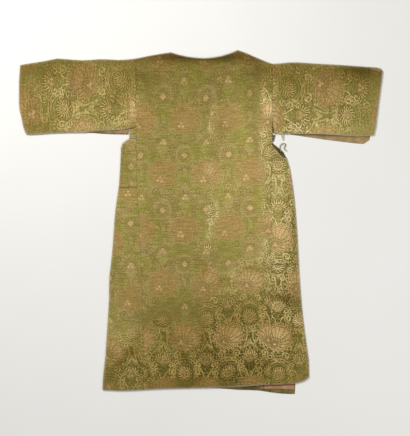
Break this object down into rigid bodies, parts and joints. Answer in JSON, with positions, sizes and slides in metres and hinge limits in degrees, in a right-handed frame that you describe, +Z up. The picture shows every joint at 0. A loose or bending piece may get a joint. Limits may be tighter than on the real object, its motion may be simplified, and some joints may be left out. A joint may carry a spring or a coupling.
{
  "type": "dalmatic",
  "caption": "Long silk dalmatic laid flat: straight front and back panels, short wide sleeves, flared side gores, boat neck.",
  "frame": {"origin": "centre of the garment's bounding box, on the surface that it lies on", "axes": "+X along the sleeves towards the wearer's left sleeve, which lies at the right of the view; +Y from the hem up to the neck; +Z up from the surface, out of the front of the garment"},
  "size_m": [1.3462, 1.2728, 0.0062],
  "materials": {
    "figured_silk": "faded olive green and tan figured silk, low sheen",
    "gore_silk": "the same figured silk, paler",
    "lining": "faded pink silk lining, matt",
    "tape": "undyed linen tape, matt",
    "edging": "grey-green silk tape, matt"
  },
  "bodies": {
    "root": {"front_panel": "figured_silk", "back_panel": "figured_silk", "sleeve_left": "figured_silk", "sleeve_right": "figured_silk", "gore_left_upper": "gore_silk", "gore_left_lower": "gore_silk", "gore_right_upper": "gore_silk", "gore_right_lower": "gore_silk", "gusset_left": "gore_silk", "hem_lining": "lining", "armhole_lining": "lining", "tape_end": "tape", "loop_tape": "edging"}
  },
  "joints": []
}
